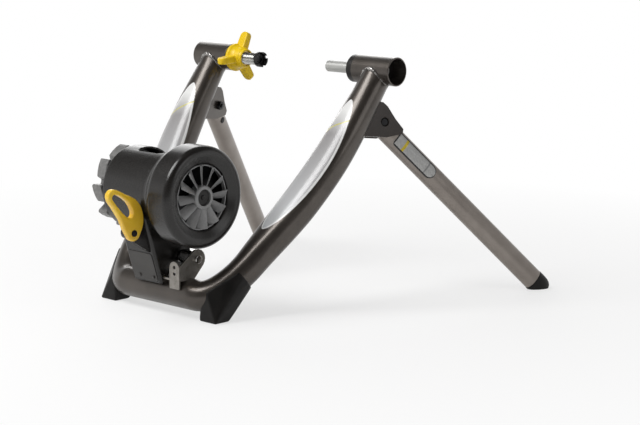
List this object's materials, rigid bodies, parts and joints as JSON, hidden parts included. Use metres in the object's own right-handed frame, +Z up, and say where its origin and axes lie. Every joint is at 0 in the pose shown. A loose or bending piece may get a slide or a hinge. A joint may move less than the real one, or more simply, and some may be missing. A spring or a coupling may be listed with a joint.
{
  "type": "bike trainer",
  "caption": "Folding bike trainer: bent tube frame, axle clamps, hinged legs and a swinging fluid roller unit with a cooling fan.",
  "frame": {"origin": "on the floor, under the middle of the trainer's outline", "axes": "+Z up, +Y the way the bicycle faces, +X towards the fan's side"},
  "size_m": [0.6888, 0.6924, 0.4138],
  "materials": {
    "black_steel": "black oxide",
    "brass": "turned",
    "brown_cover": "near-black moulded cover",
    "cast_grey": "as cast",
    "dark_plastic": "black nylon",
    "fan_grey": "dark grey",
    "graphite_paint": "metallic graphite powder coat",
    "rubber": "black rubber",
    "satin_steel": "satin steel",
    "shell_plastic": "satin black moulded shell",
    "yellow_plastic": "yellow moulded handle",
    "zinc_plate": "bright zinc plate"
  },
  "bodies": {
    "frame": {"frame_tube": "graphite_paint", "clamp_tube_left": "graphite_paint", "clamp_tube_right": "graphite_paint", "base_foot_left": "rubber", "base_foot_right": "rubber", "hinge_bracket_left": "graphite_paint", "hinge_bracket_right": "graphite_paint", "hinge_cover_left": "brown_cover", "hinge_cover_right": "brown_cover", "hinge_bolt_left": "black_steel", "hinge_bolt_right": "black_steel", "hinge_nut_left": "black_steel", "hinge_nut_right": "black_steel", "rod_bush": "dark_plastic", "rod_guide": "dark_plastic", "threaded_insert": "satin_steel", "unit_saddle": "zinc_plate", "saddle_bolt_left": "black_steel", "saddle_bolt_right": "black_steel", "swing_pin": "zinc_plate"},
    "right_leg": {"leg_right": "graphite_paint", "leg_bush_right": "brass", "leg_bumper_right": "rubber", "leg_foot_right": "rubber"},
    "left_leg": {"leg_left": "graphite_paint", "leg_bush_left": "brass", "leg_bumper_left": "rubber", "leg_foot_left": "rubber"},
    "rod": {"clamp_rod": "satin_steel"},
    "clamp_lever": {"lever_collar": "satin_steel", "lever_stem": "zinc_plate", "clamp_lever_grip": "yellow_plastic"},
    "cup": {"cup_bolt": "zinc_plate", "skewer_cup": "dark_plastic"},
    "knob": {"jam_knob": "yellow_plastic", "knob_nut": "brass"},
    "unit": {"unit_yoke": "zinc_plate", "bearing_left": "satin_steel", "bearing_right": "satin_steel", "shroud_body": "shell_plastic", "shroud_fan_housing": "shell_plastic", "shroud_rear_cover": "shell_plastic", "rear_cover_screw_left": "black_steel", "rear_cover_screw_right": "black_steel", "fluid_housing": "cast_grey", "fluid_cover": "cast_grey", "shaft_seal": "rubber"},
    "rotor": {"rotor_shaft": "satin_steel", "roller": "satin_steel", "flywheel": "black_steel", "turbine_fan": "fan_grey", "fan_hub_cap": "dark_plastic", "impeller": "satin_steel"},
    "tension": {"tension_lever": "yellow_plastic", "tension_lever_screw": "black_steel", "tension_cam": "satin_steel"},
    "push": {"push_rod": "satin_steel"}
  },
  "joints": [
    {"name": "right_leg_fold", "type": "hinge", "parent": "frame", "child": "right_leg", "pos_m": [0.1969, 0.0739, 0.288], "axis": [-0.9388, 0.2966, -0.1755], "range_deg": [0, 78]},
    {"name": "left_leg_fold", "type": "hinge", "parent": "frame", "child": "left_leg", "pos_m": [-0.1969, 0.0739, 0.288], "axis": [-0.9388, -0.2966, 0.1755], "range_deg": [0, 78]},
    {"name": "clamp_lever_turn", "type": "hinge", "parent": "rod", "child": "clamp_lever", "pos_m": [0.157, 0.0849, 0.37], "axis": [1, 0, 0], "range_deg": [0, 120.5]},
    {"name": "clamp_rod_slide", "type": "slide", "parent": "frame", "child": "rod", "axis": [1, 0, 0], "range_m": [0, 0.012]},
    {"name": "cup_bolt_travel", "type": "slide", "parent": "frame", "child": "cup", "axis": [1, 0, 0], "range_m": [-0.01, 0.012]},
    {"name": "jam_knob_turn", "type": "hinge", "parent": "frame", "child": "knob", "pos_m": [-0.138, 0.0849, 0.37], "axis": [1, 0, 0], "continuous": true},
    {"name": "unit_swing", "type": "hinge", "parent": "frame", "child": "unit", "pos_m": [0, -0.1981, 0.088], "axis": [-1, 0, 0], "range_deg": [0, 6.65]},
    {"name": "tension_lever_turn", "type": "hinge", "parent": "unit", "child": "tension", "pos_m": [0.0338, -0.2968, 0.1377], "axis": [1, 0, 0], "range_deg": [0, 95]},
    {"name": "push_rod_slide", "type": "slide", "parent": "unit", "child": "push", "axis": [0, 0.8134, -0.5818], "range_m": [0, 0.00206]},
    {"name": "rotor_spin", "type": "hinge", "parent": "unit", "child": "rotor", "pos_m": [0, -0.2151, 0.191], "axis": [1, 0, 0], "continuous": true}
  ],
  "couplings": [
    {"joint": "clamp_lever_turn", "follows": "clamp_rod_slide", "rad_per_m": 174.53},
    {"joint": "unit_swing", "follows": "tension_lever_turn", "ratio": 0.06947},
    {"joint": "push_rod_slide", "follows": "tension_lever_turn", "m_per_rad": 0.0011802}
  ]
}
